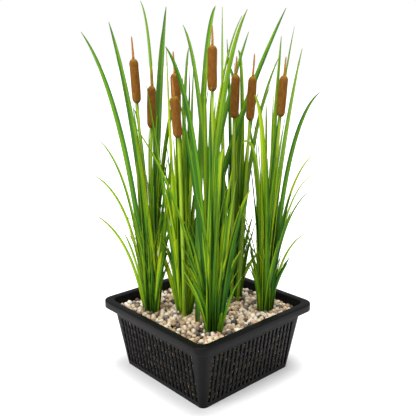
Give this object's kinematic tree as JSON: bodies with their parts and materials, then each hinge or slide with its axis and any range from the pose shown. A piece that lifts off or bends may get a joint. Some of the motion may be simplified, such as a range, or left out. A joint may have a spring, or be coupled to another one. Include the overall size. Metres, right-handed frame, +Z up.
{
  "type": "potted cattail",
  "caption": "Dwarf cattails with brown flower spikes and long arching blades, growing in gravel in a square black slotted pond basket.",
  "frame": {"origin": "centre of the basket's underside", "axes": "+Z up; X and Y run along the basket's sides"},
  "size_m": [0.3013, 0.3265, 0.662],
  "materials": {
    "basket_plastic": "satin moulded black plastic",
    "gravel": "rounded cream, beige and grey pebbles, dry and matt",
    "stem": "smooth yellow-green living stem",
    "flower_spike": "velvety brown flower spike with a thin tan spire",
    "leaf": "satin green blade with fine lengthwise veins",
    "young_leaf": "satin bright green young blade"
  },
  "bodies": {
    "root": {"basket": "basket_plastic", "gravel_bed": "gravel", "stem_1": "stem", "stem_2": "stem", "stem_3": "stem", "stem_4": "stem", "stem_5": "stem", "stem_6": "stem", "stem_7": "stem", "stem_8": "stem", "flower_spike_1": "flower_spike", "flower_spike_2": "flower_spike", "flower_spike_3": "flower_spike", "flower_spike_4": "flower_spike", "flower_spike_5": "flower_spike", "flower_spike_6": "flower_spike", "flower_spike_7": "flower_spike", "flower_spike_8": "flower_spike", "leaf_back_bent": "leaf", "leaf_back_dark_up": "leaf", "leaf_back_pale_up": "leaf", "leaf_back_right_high": "leaf", "leaf_back_right_low": "leaf", "leaf_front_broad_short": "leaf", "leaf_front_dark_right": "leaf", "leaf_front_dark_tall": "leaf", "leaf_front_left_second": "leaf", "leaf_front_left_sweep": "leaf", "leaf_front_left_tall": "leaf", "leaf_front_side_right": "leaf", "leaf_front_slender": "leaf", "leaf_front_thin_left": "leaf", "leaf_front_yellow_right": "leaf", "leaf_inner_narrow": "leaf", "leaf_inner_pale": "leaf", "leaf_inner_right_green": "leaf", "leaf_inner_right_lean": "leaf", "leaf_inner_right_sweep": "leaf", "leaf_inner_straight": "leaf", "leaf_left_crossing": "leaf", "leaf_left_lime_bend": "leaf", "leaf_left_long_arch": "leaf", "leaf_left_low_arch": "leaf", "leaf_left_mid_arch": "leaf", "leaf_left_spray": "leaf", "leaf_left_tall": "leaf", "leaf_left_upright": "leaf", "leaf_right_bronze": "leaf", "leaf_right_green_arch": "leaf", "leaf_right_long_arch": "leaf", "leaf_right_low_arch": "leaf", "leaf_right_pale": "leaf", "leaf_right_upright": "leaf", "leaf_right_yellow": "leaf", "leaf_right_yellow_arch": "leaf", "young_leaves_back": "young_leaf", "young_leaves_front": "young_leaf", "young_leaves_inner": "young_leaf", "young_leaves_left": "young_leaf", "young_leaves_right": "young_leaf"}
  },
  "joints": []
}
